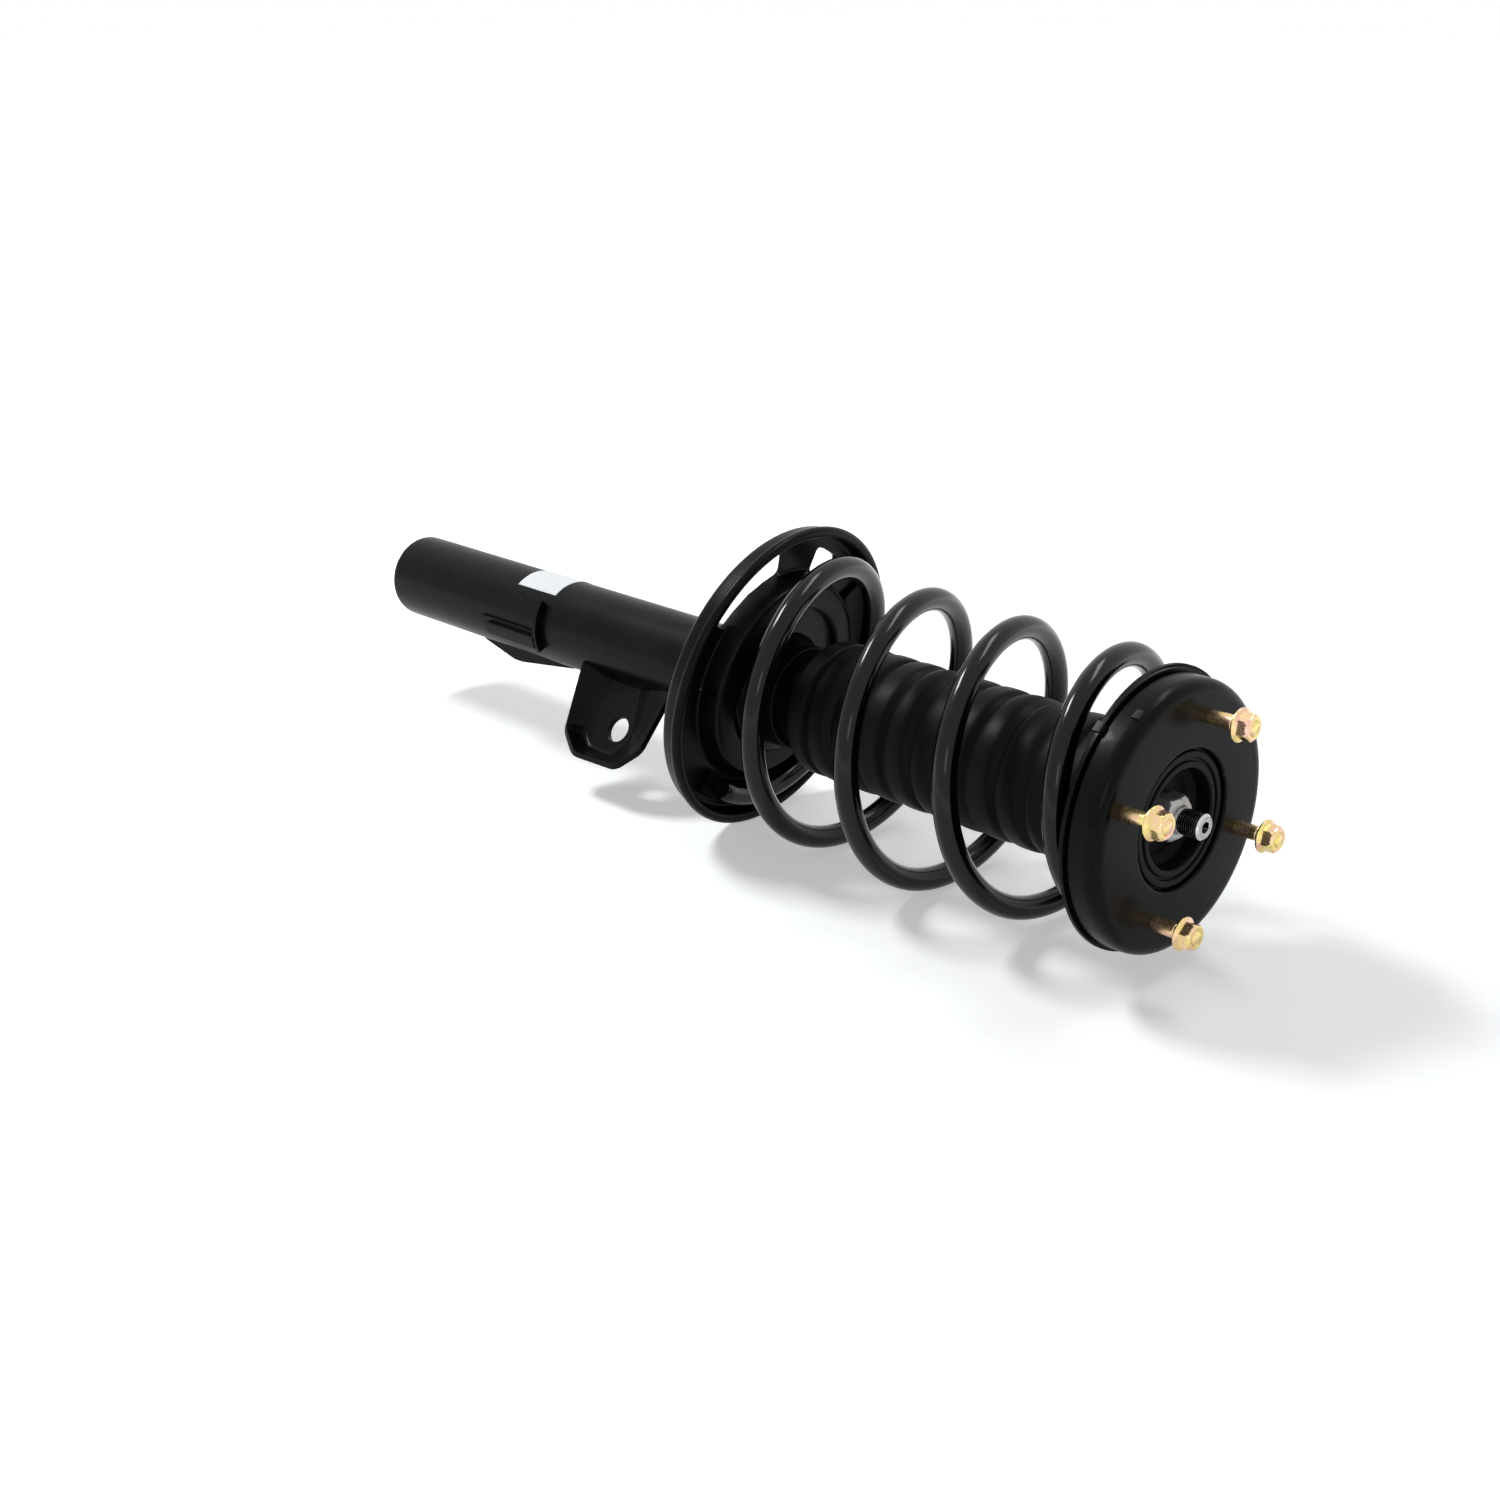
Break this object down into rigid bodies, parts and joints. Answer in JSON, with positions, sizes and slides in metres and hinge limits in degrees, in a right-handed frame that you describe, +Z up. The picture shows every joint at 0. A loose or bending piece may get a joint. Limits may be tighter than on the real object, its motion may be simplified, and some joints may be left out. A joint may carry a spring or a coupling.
{
  "type": "strut assembly",
  "caption": "Suspension strut lying on its side: damper tube with a bowed coil spring, ribbed dust boot, leaning spring seat, link bracket and a bearing top mount on studs",
  "frame": {"origin": "middle of the overall box in plan, on the floor that the strut lies on", "axes": "+X runs along the strut toward its top mount, +Z is up with the strut lying as pictured, the viewer is on the -Y side"},
  "size_m": [0.6616, 0.187, 0.1847],
  "materials": {
    "satin_black_paint": "satin",
    "gloss_black_paint": "gloss",
    "black_rubber": "matte",
    "bump_foam": "matte",
    "bright_steel": "machined",
    "hard_chrome": "polished",
    "bearing_plastic": "matte",
    "white_label": "matte",
    "yellow_zinc": "passivated"
  },
  "bodies": {
    "strut_body": {"outer_tube": "satin_black_paint", "base_valve": "bright_steel", "pressure_tube": "bright_steel", "rod_guide": "bright_steel", "rod_seal": "black_rubber", "gland_cap": "satin_black_paint", "lower_spring_seat": "satin_black_paint", "lower_spring_pad": "black_rubber", "stabilizer_bracket": "satin_black_paint", "hose_bracket": "satin_black_paint", "locating_tab": "satin_black_paint", "label": "white_label", "coil_spring": "gloss_black_paint", "dust_boot": "black_rubber"},
    "upper_seat": {"upper_spring_pad": "black_rubber", "upper_spring_seat": "satin_black_paint", "bearing_lower_race": "bearing_plastic", "bearing_balls": "bright_steel"},
    "top_mount": {"bearing_upper_race": "bearing_plastic", "mount_plate": "satin_black_paint", "mount_rubber": "black_rubber", "inner_sleeve": "bright_steel", "rod_nut": "bright_steel", "bump_washer": "bright_steel", "bump_stop": "bump_foam", "piston_rod": "hard_chrome", "rebound_stop": "black_rubber", "piston": "bright_steel", "piston_band": "bearing_plastic", "piston_nut": "bright_steel", "stud_1": "yellow_zinc", "stud_2": "yellow_zinc", "stud_3": "yellow_zinc", "stud_4": "yellow_zinc", "flange_nut_1": "yellow_zinc", "flange_nut_2": "yellow_zinc", "flange_nut_3": "yellow_zinc", "flange_nut_4": "yellow_zinc"}
  },
  "joints": [
    {"name": "strut_stroke", "type": "slide", "parent": "strut_body", "child": "upper_seat", "axis": [-1, 0, -0.0086], "range_m": [0, 0.118], "stiffness_N_per_m": 25000, "deforming": ["coil_spring", "dust_boot"]},
    {"name": "mount_swivel", "type": "hinge", "parent": "upper_seat", "child": "top_mount", "pos_m": [0.28431, -0.00308, 0.08804], "axis": [1, 0, 0.0086], "continuous": true}
  ]
}
